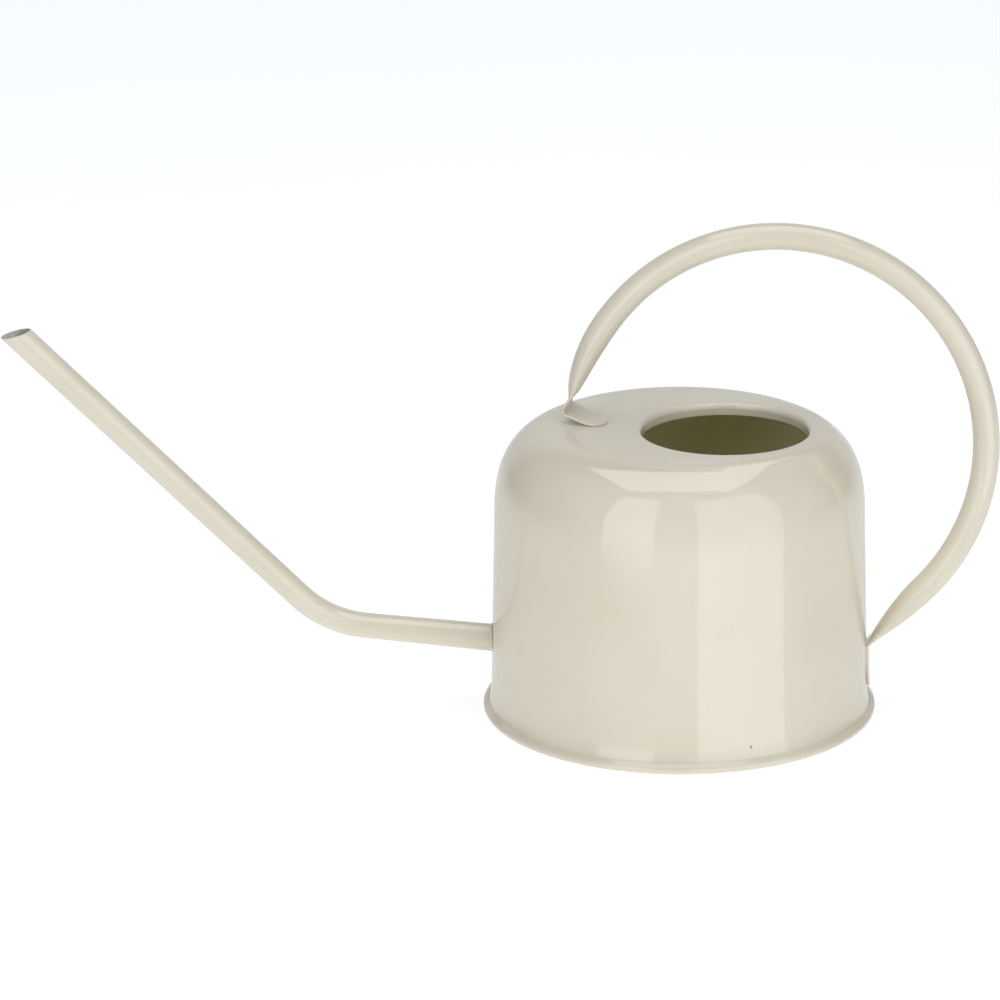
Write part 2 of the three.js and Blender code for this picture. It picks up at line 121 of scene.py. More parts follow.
FRONT_OVAL_FROM, REAR_OVAL_TO = 134, -44        # degrees round the oval, between the handle's two legs
FRONT_LEG_DIRECTION = np.array([0.27, 0.96])
FRONT_FLAT = 19.4           # flat strip, from the tab's end round the bend
FRONT_RISE, FRONT_POWER = 28.0, 0.45
REAR_FLAT = REAR_BEND_Z - REAR_TAB_BOTTOM + 0.3
REAR_RISE, REAR_POWER = 28.0, 0.86
FRONT_TAB_LENGTH = FRONT_FLAT - 4
TWIST_ENDS = (FRONT_FLAT - 7, FRONT_FLAT + 3)   # along the tube, where the front tab's twist dies out
SKEW_ENDS = (REAR_FLAT + 5, REAR_FLAT + 30)     # from the rear end, where the rear skew dies out
WRAP_ENDS = (REAR_FLAT - 3, REAR_FLAT + 4)      # from the rear end, where the tab leaves the round wall

HOLE_GAP = 0.1              # room round the spout's stub in the wall
HOLE_SIDES = 48
HOLE_MIDDLE = 2.5           # middle of the cutting rod, outwards from the stub's open end
HOLE_HALF_LENGTH = 4.0

ELLIPSE_GIRTH = 0.11        # half width gained by a flat ellipse over the mean-square estimate
SECTION_OPENS = (1.0, 3.0)  # thickness over which a strip's section turns into an ellipse

ROUND = 240                 # segments round the body
TUBE_SIDES = 48
EDGE_STEPS = 6              # steps round the cut edge of a sheet
TUBE_EDGE_ANGLES = np.linspace(0, math.pi, 6)[1:-1]


# ---- outlines ----
def smoothstep(value, low, high):
    t = np.clip((value - low) / (high - low), 0, 1)
    return t * t * (3 - 2 * t)


def arc(centre, radius, start, end, steps):
    a = np.linspace(start, end, steps + 1)
    return np.stack([centre[0] + radius * np.cos(a), centre[1] + radius * np.sin(a)], axis=1)


def unit(v):
    return v / np.linalg.norm(v, axis=-1, keepdims=True)


def wall_radius(z):
    return WALL_RADIUS - math.tan(WALL_DRAFT) * (z - FLARE_TOP)


def flare_radius(z):
    """Outside of the flare under the wall."""
    drop = FLARE_TOP + FLARE_RADIUS * math.sin(WALL_DRAFT) - z
    return WALL_RADIUS + FLARE_RADIUS * math.cos(WALL_DRAFT) - math.sqrt(FLARE_RADIUS ** 2 - drop ** 2)


SHOULDER_START = BODY_HEIGHT - SHOULDER_HEIGHT
TOP_RADIUS = wall_radius(SHOULDER_START) - SHOULDER_WIDTH


def revolved_top(r):
    """Height of the body's outer surface at radius r: slightly crowned top, then the shoulder."""
    u = np.clip((r - TOP_RADIUS) / SHOULDER_WIDTH, 0, 1)
    shoulder = SHOULDER_START + SHOULDER_HEIGHT * (1 - u ** SHOULDER_POWER) ** (1 / SHOULDER_POWER)
    return shoulder - TOP_CROWN * smoothstep(r, 0, 1.3 * TOP_RADIUS)


def top_height(x, y):
    """The same over any point, with the sheet pressed level round the filler."""
    from_filler = np.hypot(x - FILLER_X, y - FILLER_Y)
    level = 1 - smoothstep(from_filler, LIP_FLAT, LIP_FADE)
    own = revolved_top(np.hypot(x, y))
    return own + (BODY_HEIGHT - 0.7 * TOP_CROWN - own) * level


def offset(outline, distance):
    """Points moved to their left by a distance, each along the bisector of its neighbours."""
    before = np.vstack([outline[:1], outline[:-1]])
    after = np.vstack([outline[1:], outline[-1:]])
    along = unit(after - before)
    return outline + distance * np.stack([-along[:, 1], along[:, 0]], axis=1)


def round_edge(first, last, ahead):
    """Half circle from one side of a sheet's edge to the other, bulging in the direction ahead."""
    middle, half = (first + last) / 2, (first - last) / 2
    a = np.linspace(0, math.pi, EDGE_STEPS + 1)[1:-1, None]
    return middle + half * np.cos(a) + unit(ahead) * np.linalg.norm(half) * np.sin(a)


def sheet_outline(outside, thickness):
    """Closed outline of a sheet from its outside line, with both cut edges rounded."""
    inside = offset(outside, thickness)
    far = round_edge(outside[-1], inside[-1], outside[-1] - outside[-2])
    near = round_edge(inside[0], outside[0], outside[0] - outside[1])
    return np.vstack([outside, far, inside[::-1], near])


# ---- meshes ----
def new_piece(name, points, faces, material, replaced, inner=None):
    """A smooth-shaded mesh in the row frame that stands for a CAD node. Its "inner" values tell the coat
    where the sheet is seen from inside:
    0 outside, 0.5 inside the body, where the coat is painted with a shade cast, 1 in the bare bore of a tube."""
    row = np.asarray(points, float) * MM + np.array(AXIS)
    mesh = bpy.data.meshes.new(name)
    mesh.from_pydata(row.tolist(), [], faces)
    mesh.materials.append(material)
    mesh.polygons.foreach_set("use_smooth", [True] * len(mesh.polygons))
    mesh.update()
    shade = mesh.attributes.new("inner", "FLOAT", "POINT")
    shade.data.foreach_set("value", inner if inner is not None else [0.0] * len(points))
    piece = bpy.data.objects.new(name, mesh)
    bpy.context.scene.collection.objects.link(piece)
    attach(piece, "root")
    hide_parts(replaced)
    return piece


def ring_faces(ring_count, per_ring, wrap):
    """Quads between closed rings; wrap also joins the last ring to the first."""
    faces = []
    for i in range(ring_count if wrap else ring_count - 1):
        a, b = i * per_ring, (i + 1) % ring_count * per_ring
        for j in range(per_ring):
            k = (j + 1) % per_ring
            faces.append((a + j, b + j, b + k, a + k))
    return faces


def outward(points, faces):
    """The faces, turned round where they would enclose a negative volume."""
    p = np.asarray(points, float)
    volume = sum(np.dot(p[f[0]], np.cross(p[f[i]], p[f[i + 1]])) for f in faces for i in range(1, len(f) - 1))
    return faces if volume > 0 else [f[::-1] for f in faces]


def turned_rings(outline):
    a = np.linspace(0, 2 * math.pi, ROUND, endpoint=False)
    r, z = outline[:, 0, None], outline[:, 1, None]
    return np.stack([r * np.cos(a), r * np.sin(a), z + 0 * a], axis=2)


def pressed_section(thickness, diameter, narrowing=0.0):
    """A tube's section pressed to a thickness, its girth unchanged: half rounds joined by flats when it is
    a strip, an ellipse once it opens. The points are shared out by both length and turning."""
    flat = max(math.pi * (diameter - thickness) / 2 - narrowing, 0.0)
    bend = math.pi * thickness / 2
    shares = np.array([bend, flat, bend, flat]) / (4 * (bend + flat)) + np.array([0.25, 0, 0.25, 0])
    marks = np.concatenate([[0], np.cumsum(shares)])
    points = []
    for m in (np.arange(TUBE_SIDES) + 0.5) / TUBE_SIDES:
        k = min(int(np.searchsorted(marks, m, side="right")) - 1, 3)
        t = (m - marks[k]) / (marks[k + 1] - marks[k])
        side = 1 if k < 2 else -1
        if k % 2 == 0:
            a = math.pi * (t - 0.5)
            across = flat / 2 + thickness / 2 * math.cos(a)
            points.append((side * across, side * thickness / 2 * math.sin(a)))
        else:
            points.append((side * flat * (0.5 - t), side * thickness / 2))
    strip = np.array(points)
    pressed = 1 - thickness / diameter
    half_width = math.sqrt(diameter ** 2 / 2 - thickness ** 2 / 4) * (1 + ELLIPSE_GIRTH * pressed ** 2)
    reach = strip[:, 0] / (flat / 2 + thickness / 2)
    rise = np.sign(strip[:, 1]) * np.sqrt(np.clip(1 - reach ** 2, 0, 1))
    ellipse = np.stack([half_width * reach, thickness / 2 * rise], axis=1)
    opened = smoothstep(thickness, *SECTION_OPENS)
    return strip + (ellipse - strip) * opened


def place_section(section, point, tangent, width):
    across = unit(width - np.dot(width, tangent) * tangent)
    up = np.cross(tangent, across)
    return point + section[:, :1] * across + section[:, 1:] * up


def tube_piece(node, outer, inner, directions, material):
    """A hollow tube from matching outside and inside rings, with both cut edges rounded."""
    near = [round_edge_ring(inner[0], outer[0], -directions[0], a) for a in TUBE_EDGE_ANGLES]
    far = [round_edge_ring(outer[-1], inner[-1], directions[1], a) for a in TUBE_EDGE_ANGLES]
    rings = [*outer, *far, *inner[::-1], *near]
    points = np.concatenate(rings)
    faces = outward(points, ring_faces(len(rings), TUBE_SIDES, wrap=True))
    coated = len(outer) + len(far) // 2
    bare = [0.0] * coated + [1.0] * (len(far) - len(far) // 2 + len(inner)) + [0.0] * len(near)
    return new_piece(node + "_fine", points, faces, material, node, np.repeat(bare, TUBE_SIDES))


def round_edge_ring(first, last, ahead, angle):
    half = (first - last) / 2
    reach = np.linalg.norm(half, axis=1, keepdims=True) * math.sin(angle)
    return (first + last) / 2 + half * math.cos(angle) + ahead * reach


# ---- materials ----
def add(tree, kind, **values):
    """A shader node, with properties set by name and inputs set by their label."""
    node = tree.nodes.new(kind)
    for key, value in values.items():
        if hasattr(node, key):
            setattr(node, key, value)
        else:
            node.inputs[key.replace("_", " ")].default_value = value
    return node


def new_material(name):
    material = bpy.data.materials.new(name)
    material.use_nodes = True
    tree = material.node_tree
    tree.nodes.clear()
    output = add(tree, "ShaderNodeOutputMaterial")
    shader = add(tree, "ShaderNodeBsdfPrincipled")
    tree.links.new(shader.outputs["BSDF"], output.inputs["Surface"])
    place = add(tree, "ShaderNodeTexCoord").outputs["Object"]
    return material, tree, shader, place


def noise_of(tree, place, scale, detail=2.0, roughness=0.5):
    node = add(tree, "ShaderNodeTexNoise", Scale=scale, Detail=detail, Roughness=roughness)
    tree.links.new(place, node.inputs["Vector"])
    return node.outputs["Fac"]


def ramp(tree, value, stops):
    node = add(tree, "ShaderNodeValToRGB")
    elements = node.color_ramp.elements
    while len(elements) < len(stops):
        elements.new(0.5)
    for element, (position, colour) in zip(elements, stops):
        element.position = position
        element.color = (*colour, 1)
    tree.links.new(value, node.inputs["Fac"])
    return node.outputs["Color"]


def mix(tree, factor, first, second):
    node = add(tree, "ShaderNodeMix", data_type="RGBA")
    tree.links.new(factor, node.inputs["Factor"])
    for socket, value in (("A", first), ("B", second)):
        target = [s for s in node.inputs if s.name == socket and s.type == "RGBA"][0]
        if isinstance(value, tuple):
            target.default_value = (*value, 1)
        else:
            tree.links.new(value, target)
    return [s for s in node.outputs if s.type == "RGBA"][0]


def bump(tree, height, strength, distance, normal=None):
    node = add(tree, "ShaderNodeBump", Strength=strength, Distance=distance)
    tree.links.new(height, node.inputs["Height"])
    if normal is not None:
        tree.links.new(normal, node.inputs["Normal"])
    return node.outputs["Normal"]


CREAM, CREAM_THIN = (0.80, 0.744, 0.613), (0.775, 0.711, 0.573)
# More saturated yellow for the inside faces of the same cream coat: painted shade, the olive cast the dim
# interior takes on.
INSIDE_SHADE_CAST = (0.92, 0.865, 0.57)
BARE_DARK, BARE_PALE = (0.50, 0.49, 0.46), (0.64, 0.63, 0.59)
CLOUD_SCALE, WAVE_SCALE, GLOSS_SCALE, PEEL_SCALE, BORE_SCALE = 28, 45, 60, 900, 260
WAVE_DEPTH, PEEL_DEPTH = 0.0002, 0.00005
COAT_ROUGHNESS = (0.045, 0.09)
COAT_IOR = 1.6

SPECK = (0.33, 0.28, 0.2)
SPECK_SCALE, SPECK_RADIUS = 190, 0.04
SPECK_ABOVE = 0.95          # only cells whose random value is over this hold a speck

CHIP = (0.52, 0.33, 0.2)
CHIP_ANGLE = math.radians(21.6)     # from -Y towards +X
CHIP_HEIGHT = 7.6                   # above the floor, in millimetres
CHIP_RADIUS = WALL_RADIUS + 0.15
CHIP_X, CHIP_Y = CHIP_RADIUS * math.sin(CHIP_ANGLE), -CHIP_RADIUS * math.cos(CHIP_ANGLE)
CHIP_PLACE = AXIS + MM * Vector((CHIP_X, CHIP_Y, CHIP_HEIGHT))
CHIP_SIZE = Vector((0.42, 1.0, 0.75)) * MM
CHIP_GRAIN_SCALE = 1500
CHIP_EDGE = 1.4             # the spot ends where its distance and the grain add up to this


def within(tree, place, centre, size):
    """1 inside a small egg-shaped spot, with an irregular edge."""
    shift = add(tree, "ShaderNodeVectorMath", operation="SUBTRACT")
    tree.links.new(place, shift.inputs[0])
    shift.inputs[1].default_value = centre
    scaled = add(tree, "ShaderNodeVectorMath", operation="DIVIDE")
    tree.links.new(shift.outputs[0], scaled.inputs[0])
    scaled.inputs[1].default_value = size
    length = add(tree, "ShaderNodeVectorMath", operation="LENGTH")
    tree.links.new(scaled.outputs[0], length.inputs[0])
    ragged = add(tree, "ShaderNodeMath", operation="ADD")
    tree.links.new(length.outputs["Value"], ragged.inputs[0])
    tree.links.new(noise_of(tree, place, CHIP_GRAIN_SCALE), ragged.inputs[1])
    return add_math(tree, "LESS_THAN", ragged.outputs[0], CHIP_EDGE)


def add_math(tree, operation, value, constant):
    node = add(tree, "ShaderNodeMath", operation=operation)
    tree.links.new(value, node.inputs[0])
    node.inputs[1].default_value = constant
    return node.outputs[0]


def step(tree, value, level):
    return add_math(tree, "GREATER_THAN", value, level)


def cream_coat():
    """Glossy powder coat: faint cloudiness, orange peel, gentle waves in the sheet, sparse dust specks, and a
    painted shade cast on the faces inside the body.
    """
    material, tree, shader, place = new_material("cream_coat")
    cloud = ramp(tree, noise_of(tree, place, CLOUD_SCALE, detail=3), [(0.35, CREAM_THIN), (0.62, CREAM)])
    cells = add(tree, "ShaderNodeTexVoronoi", Scale=SPECK_SCALE)
    tree.links.new(place, cells.inputs["Vector"])
    near = add_math(tree, "LESS_THAN", cells.outputs["Distance"], SPECK_RADIUS)
    chosen = add(tree, "ShaderNodeSeparateColor")
    tree.links.new(cells.outputs["Color"], chosen.inputs["Color"])
    rare = step(tree, chosen.outputs["Red"], SPECK_ABOVE)
    speck = add(tree, "ShaderNodeMath", operation="MULTIPLY")
    tree.links.new(near, speck.inputs[0])
    tree.links.new(rare, speck.inputs[1])
    coated = mix(tree, speck.outputs[0], cloud, SPECK)
    chip = within(tree, place, CHIP_PLACE, CHIP_SIZE)
    coated = mix(tree, chip, coated, CHIP)
    where = add(tree, "ShaderNodeAttribute", attribute_name="inner").outputs["Fac"]
    # Faces inside the body take a more saturated yellow: painted shade, the cast the same coat takes on in
    # the dim interior.
    colour = mix(tree, step(tree, where, 0.25), coated, INSIDE_SHADE_CAST)
    bore = ramp(tree, noise_of(tree, place, BORE_SCALE), [(0.3, BARE_DARK), (0.7, BARE_PALE)])
    tree.links.new(mix(tree, step(tree, where, 0.75), colour, bore), shader.inputs["Base Color"])
    gloss = add(tree, "ShaderNodeMapRange", To_Min=COAT_ROUGHNESS[0], To_Max=COAT_ROUGHNESS[1])
    tree.links.new(noise_of(tree, place, GLOSS_SCALE), gloss.inputs["Value"])
    tree.links.new(gloss.outputs["Result"], shader.inputs["Roughness"])
    waves = bump(tree, noise_of(tree, place, WAVE_SCALE, detail=1), 0.25, WAVE_DEPTH)
    peel = bump(tree, noise_of(tree, place, PEEL_SCALE, detail=2), 0.12, PEEL_DEPTH, waves)
    tree.links.new(peel, shader.inputs["Normal"])
    shader.inputs["IOR"].default_value = COAT_IOR
    return material


def seam_compound():
    material, tree, shader, place = new_material("seam_compound")
    grain = noise_of(tree, place, 700, detail=3)
    colour = ramp(tree, grain, [(0.3, (0.035, 0.032, 0.028)), (0.7, (0.075, 0.07, 0.062))])
    tree.links.new(colour, shader.inputs["Base Color"])
    tree.links.new(bump(tree, grain, 0.4, 0.0001), shader.inputs["Normal"])
    shader.inputs["Roughness"].default_value = 0.75
    return material


def braze_alloy():
    material, tree, shader, place = new_material("braze_alloy")
    grain = noise_of(tree, place, 500, detail=4)
    colour = ramp(tree, grain, [(0.3, (0.26, 0.15, 0.05)), (0.7, (0.52, 0.37, 0.14))])
    tree.links.new(colour, shader.inputs["Base Color"])
    tree.links.new(bump(tree, grain, 0.5, 0.0002), shader.inputs["Normal"])
    shader.inputs["Metallic"].default_value = 1.0
    shader.inputs["Roughness"].default_value = 0.4
    return material


def floor_acrylic():
    material, tree, shader, place = new_material("floor_acrylic")
    tint = noise_of(tree, place, 3)
    colour = ramp(tree, tint, [(0.3, (0.73, 0.73, 0.73)), (0.7, (0.75, 0.75, 0.75))])
    tree.links.new(colour, shader.inputs["Base Color"])
    shader.inputs["Roughness"].default_value = 0.25
    shader.inputs["Emission Color"].default_value = (0.95, 0.975, 1, 1)
    shader.inputs["Emission Strength"].default_value = 0.56
    return material


# ---- pieces ----
def body_shell(material):
    flare_centre = (WALL_RADIUS + FLARE_RADIUS * math.cos(WALL_DRAFT),
                    FLARE_TOP + FLARE_RADIUS * math.sin(WALL_DRAFT))
    flare = arc(flare_centre, FLARE_RADIUS, math.pi + FLARE_ANGLE, math.pi + WALL_DRAFT, 14)
    heights = np.linspace(FLARE_TOP, SHOULDER_START, 16)[1:-1]
    wall = np.stack([wall_radius(heights), heights], axis=1)
    t = np.linspace(0, math.pi / 2, 41)
    z = SHOULDER_START + SHOULDER_HEIGHT * np.sin(t) ** (2 / SHOULDER_POWER)
    eased = math.tan(WALL_DRAFT) * SHOULDER_EASE * (1 - np.exp((SHOULDER_START - z) / SHOULDER_EASE))
    r = TOP_RADIUS + SHOULDER_WIDTH * np.cos(t) ** (2 / SHOULDER_POWER) - eased
    shoulder = np.stack([r, z], axis=1)
    roll_radius = FILLER_RADIUS + LIP_BEND
    inwards = np.linspace(r[-1], roll_radius, 9)[1:-1]
    top = np.stack([inwards, np.full(len(inwards), BODY_HEIGHT)], axis=1)
    roll = arc((roll_radius, BODY_HEIGHT - LIP_BEND), LIP_BEND, math.pi / 2, math.pi, 14)
    lip_end = BODY_HEIGHT - LIP_DEPTH
    edge = np.array([[FILLER_RADIUS, lip_end + 1], [FILLER_RADIUS, lip_end + 0.3]])
    outline = sheet_outline(np.vstack([flare, wall, shoulder, top, roll, edge]), SHEET)
    rings = turned_rings(outline)

    # The rings of the top slide towards the filler, each keeping its depth below the outer surface.
    own = np.hypot(rings[..., 0], rings[..., 1])
    slide = smoothstep(wall_radius(SHOULDER_START) - own, 0, wall_radius(SHOULDER_START) - roll_radius)
    slide = np.where(rings[..., 2] > SHOULDER_START - 1, slide, 0)
    x = rings[..., 0] + slide * FILLER_X
    y = rings[..., 1] + slide * FILLER_Y
    crown = TOP_CROWN * smoothstep(own, 0, 1.3 * TOP_RADIUS)
    lift = np.where(slide > 0, top_height(x, y) - revolved_top(own) - crown, 0)
    rings = np.stack([x, y, rings[..., 2] + lift], axis=2)

    points = rings.reshape(-1, 3)
    faces = outward(points, ring_faces(len(rings), ROUND, wrap=True))
    outside_rings = (len(outline) - 2 * (EDGE_STEPS - 1)) // 2 + EDGE_STEPS // 2
    # Faces seen from inside the body get 0.5, which the coat paints with a shade cast.
    sheet_side = np.repeat([0.0] * outside_rings + [0.5] * (len(outline) - outside_rings), ROUND)
    piece = new_piece("body_shell_fine", points, faces, material, "body_shell", sheet_side)
    pierce(piece)
    return piece


def pierce(shell):
    """Cuts the round hole that the spout's stub passes through."""
    radius = TUBE_DIAMETER / 2 + HOLE_GAP
    rise = np.array([-math.cos(SPOUT_RISE), 0, math.sin(SPOUT_RISE)])
    middle = np.array([SPOUT_START_X, 0, SPOUT_ROOT_Z]) + HOLE_MIDDLE * rise
    turn = np.linspace(0, 2 * math.pi, HOLE_SIDES, endpoint=False)
    section = radius * np.stack([np.cos(turn), np.sin(turn)], axis=1)
    width = np.array([0, 1.0, 0])
    ends = [place_section(section, middle + side * HOLE_HALF_LENGTH * rise, rise, width) for side in (-1, 1)]
    caps = [tuple(range(HOLE_SIDES)), tuple(range(2 * HOLE_SIDES - 1, HOLE_SIDES - 1, -1))]
    faces = ring_faces(2, HOLE_SIDES, wrap=False) + caps
    points = np.concatenate(ends)
    mesh = bpy.data.meshes.new("rod")
    mesh.from_pydata((points * MM + np.array(AXIS)).tolist(), [], outward(points, faces))
    rod = bpy.data.objects.new("rod", mesh)
    bpy.context.scene.collection.objects.link(rod)
    hole = shell.modifiers.new("hole", "BOOLEAN")
    hole.operation = "DIFFERENCE"
    hole.solver = "EXACT"
    hole.object = rod
    bpy.context.view_layer.update()
    pierced = bpy.data.meshes.new_from_object(shell.evaluated_get(bpy.context.evaluated_depsgraph_get()))
    shell.modifiers.clear()
    shell.data = pierced
    bpy.data.objects.remove(rod)


def base_disc(material):
    roll = RIM_ROLL_RADIUS
    centre = (RIM_RADIUS - roll, roll)
    fold_end = centre + roll * np.array([math.cos(RIM_FOLD_END), math.sin(RIM_FOLD_END)])
    lip = np.array([flare_radius(RIM_FOLD_TOP) + 2 * RIM_FEATHER, RIM_FOLD_TOP])
    tangent = np.array([-math.sin(RIM_FOLD_END), math.cos(RIM_FOLD_END)])
    corner = fold_end + tangent * (lip[0] - fold_end[0]) / tangent[0] * 0.96
    ring_inner = BASE_PANEL_RADIUS + BASE_STEP
    panel = [(r, BASE_RECESS) for r in (6, 20, 34, 46, 54)]
    step = [(BASE_PANEL_RADIUS - 1.5 + (BASE_STEP + 3) * t, BASE_RECESS * (1 - smoothstep(t, 0.1, 0.9)))
            for t in np.linspace(0, 1, 15)]
    ring = [(ring_inner + 1.5 + 1.2 * i, 0) for i in range(1, 4)]
    stamped = np.vstack([panel, step, ring])
    u = np.linspace(0, 1, 9)[1:, None]
    fillet = (1 - u) ** 2 * fold_end + 2 * u * (1 - u) * corner + u ** 2 * lip
    outside = np.vstack([stamped, arc(centre, roll, -math.pi / 2, RIM_FOLD_END, 20), fillet])
    inside_roll = arc(centre, roll - SHEET, -math.pi / 2, RIM_FOLD_INSIDE_END, 20)
    feather_heights = np.linspace(inside_roll[-1, 1] + 0.15, RIM_FOLD_TOP, 7)
    along_flare = [(flare_radius(z) + RIM_FEATHER, z) for z in feather_heights]
    inside = np.vstack([offset(stamped, SHEET), inside_roll, along_flare])
    rings = turned_rings(np.vstack([outside, inside[::-1]]))
    points = np.vstack([rings.reshape(-1, 3), [(0, 0, BASE_RECESS), (0, 0, BASE_RECESS + SHEET)]])
    faces = ring_faces(len(rings), ROUND, wrap=False)
    under, above, last = len(points) - 2, len(points) - 1, (len(rings) - 1) * ROUND
    for j in range(ROUND):
        k = (j + 1) % ROUND
        faces.append((under, j, k))
        faces.append((above, last + k, last + j))
    # The disc's upper face, inside the can, gets 0.5, which the coat paints with a shade cast.
    shade = [0.0] * (len(outside) * ROUND) + [0.5] * (len(inside) * ROUND) + [0.0, 0.5]
    faces = outward(points, faces)
    return new_piece("base_disc_fine", points, faces, material, "base_disc", shade)


def spout_axis():
    """Stations along the spout: distance, point and direction in the spout's own upright plane."""
    rise = np.array([-math.cos(SPOUT_RISE), math.sin(SPOUT_RISE)])
    climb = np.array([-math.cos(SPOUT_CLIMB), math.sin(SPOUT_CLIMB)])
    start = np.array([SPOUT_START_X, SPOUT_ROOT_Z])
    corner = start + rise * (SPOUT_CORNER_X - SPOUT_START_X) / rise[0]
    tangent_length = SPOUT_BEND_RADIUS * math.tan((SPOUT_CLIMB - SPOUT_RISE) / 2)
    bend_start = corner - rise * tangent_length
    centre = bend_start + SPOUT_BEND_RADIUS * np.array([rise[1], -rise[0]])
    tip_length = (SPOUT_TIP_X - corner[0]) / climb[0]
    stations = []
    root_length = np.linalg.norm(bend_start - start)
    wall_at = (-wall_radius(SPOUT_ROOT_Z) - start[0]) / rise[0]
    fillet_stops = wall_at + np.linspace(-0.3, 1.6, 20)
    for s in np.unique(np.concatenate([np.arange(0, wall_at - 0.4, 0.8), fillet_stops,
                                       np.arange(wall_at + 2.2, root_length, 1.2)])):
        stations.append((s, start + rise * s, rise))
    for a in np.linspace(SPOUT_RISE, SPOUT_CLIMB, 25):
        out = np.array([-math.sin(a), -math.cos(a)])
        s = root_length + SPOUT_BEND_RADIUS * (a - SPOUT_RISE)
        stations.append((s, centre + SPOUT_BEND_RADIUS * out, np.array([-math.cos(a), math.sin(a)])))
    bend_length = SPOUT_BEND_RADIUS * (SPOUT_CLIMB - SPOUT_RISE)
    for along in np.arange(tangent_length + 2, tip_length - TUBE_DIAMETER, 3.0):
        s = root_length + bend_length + along - tangent_length
        stations.append((s, corner + climb * along, climb))
    return stations, corner + climb * tip_length, climb


def with_fillet(ring, centre):
    """The ring swollen where it leaves the body's wall, as the coat fills that corner."""
    from_wall = np.hypot(ring[:, 0], ring[:, 1]) - wall_radius(SPOUT_ROOT_Z)
    t = np.clip(from_wall / COAT_FILLET, 0, 1)
    swell = np.where(from_wall > FILLET_GAP, COAT_FILLET * (1 - np.sqrt(1 - (1 - t) ** 2)), 0)
    return ring + unit(ring - centre) * swell[:, None]


def spout_tube(material):
    stations, tip, climb = spout_axis()
    total = stations[-1][0]
    width = np.array([0, 1.0, 0])
    squeezed_from, squeezed_to = 44.0, 60.0
    marks = [0, squeezed_from, squeezed_to, total]
    thicknesses = [SPOUT_ROOT_THICKNESS, SPOUT_BEND_THICKNESS, SPOUT_BEND_THICKNESS, SPOUT_TIP_THICKNESS]
    outer, inner = [], []
    for s, q, t in stations:
        thickness = np.interp(s, marks, thicknesses)
        point, tangent = np.array([q[0], 0, q[1]]), np.array([t[0], 0, t[1]])
        skin = place_section(pressed_section(thickness, TUBE_DIAMETER), point, tangent, width)
        outer.append(with_fillet(skin, point))
        bore = pressed_section(thickness - 2 * TUBE_WALL, TUBE_DIAMETER - 2 * TUBE_WALL)
        inner.append(place_section(bore, point, tangent, width))
    along = np.array([climb[0], 0, climb[1]])
    plane_normal = np.array([-math.sin(SPOUT_CUT_TILT), 0, math.cos(SPOUT_CUT_TILT)])
    plane_point = np.array([tip[0], 0, tip[1]])
    for rings in (outer, inner):
        last = rings[-1]
        for share in (0.4, 0.75, 1.0):
            reach = (plane_point - last) @ plane_normal / (along @ plane_normal)
            rings.append(last + share * reach[:, None] * along)
    rise = np.array([-math.cos(SPOUT_RISE), 0, math.sin(SPOUT_RISE)])
    return tube_piece("spout_tube", outer, inner, (rise, along), material)


def hermite(p0, t0, p1, t1, steps):
    length = np.linalg.norm(p1 - p0)
    u = np.linspace(0, 1, steps + 1)[:, None]
    return ((2 * u ** 3 - 3 * u ** 2 + 1) * p0 + (u ** 3 - 2 * u ** 2 + u) * length * unit(t0)
            + (3 * u ** 2 - 2 * u ** 3) * p1 + (u ** 3 - u ** 2) * length * unit(t1))


def on_oval(degrees):
    a = math.radians(degrees)
    return HANDLE_CENTRE + np.array([HANDLE_HALF_WIDTH * math.cos(a), HANDLE_HALF_HEIGHT * math.sin(a)])


def oval_direction(degrees):
    a = math.radians(degrees)
    return np.array([HANDLE_HALF_WIDTH * math.sin(a), -HANDLE_HALF_HEIGHT * math.cos(a)])


def corner_bend(before, corner, after, reach, steps=10):
    """A rounded corner between two straight runs, reaching so far along each."""
    a = corner + unit(before - corner) * reach
    b = corner + unit(after - corner) * reach
    u = np.linspace(0, 1, steps + 1)[:, None]
    return (1 - u) ** 2 * a + 2 * u * (1 - u) * corner + u ** 2 * b


def handle_axis():
    """The handle's centre line in its own upright plane, front tab first."""
    rear_x = wall_radius(REAR_BEND_Z) + TAB_GAP + TAB_THICKNESS / 2
    rear_bend = np.array([rear_x, REAR_BEND_Z])
    rear_end = np.array([wall_radius(REAR_TAB_BOTTOM) + TAB_GAP + TAB_THICKNESS / 2, REAR_TAB_BOTTOM])
    front_oval, rear_oval = on_oval(FRONT_OVAL_FROM), on_oval(REAR_OVAL_TO)
    runs = [
        [FRONT_TAB_END],
        corner_bend(FRONT_TAB_END, FRONT_TAB_KINK, FRONT_BEND, 3.0),
        corner_bend(FRONT_TAB_KINK, FRONT_BEND, FRONT_STRIP_TOP, 1.6),
        hermite(FRONT_STRIP_TOP, FRONT_LEG_DIRECTION, front_oval, oval_direction(FRONT_OVAL_FROM), 24),
        [on_oval(d) for d in np.arange(FRONT_OVAL_FROM - 1, REAR_OVAL_TO, -1.0)],
        hermite(rear_oval, oval_direction(REAR_OVAL_TO), rear_bend + unit(rear_oval - rear_bend) * 2.0,
                rear_bend - rear_oval, 16),
        corner_bend(rear_oval, rear_bend, rear_end, 1.4),
        [rear_end],
    ]
    line = np.vstack(runs)
    steps = np.linalg.norm(np.diff(line, axis=0), axis=1)
    line = line[np.concatenate([[True], steps > 1e-6])]
    length = np.concatenate([[0], np.cumsum(np.linalg.norm(np.diff(line, axis=0), axis=1))])
    return line, length


def opened(distance, flat, rise, power):
    """How far the tube has opened, 0 to 1, at a distance from an end whose strip is flat so far."""
    t = np.clip((distance - flat) / rise, 0, 1)
    return np.sin(math.pi / 2 * t) ** power


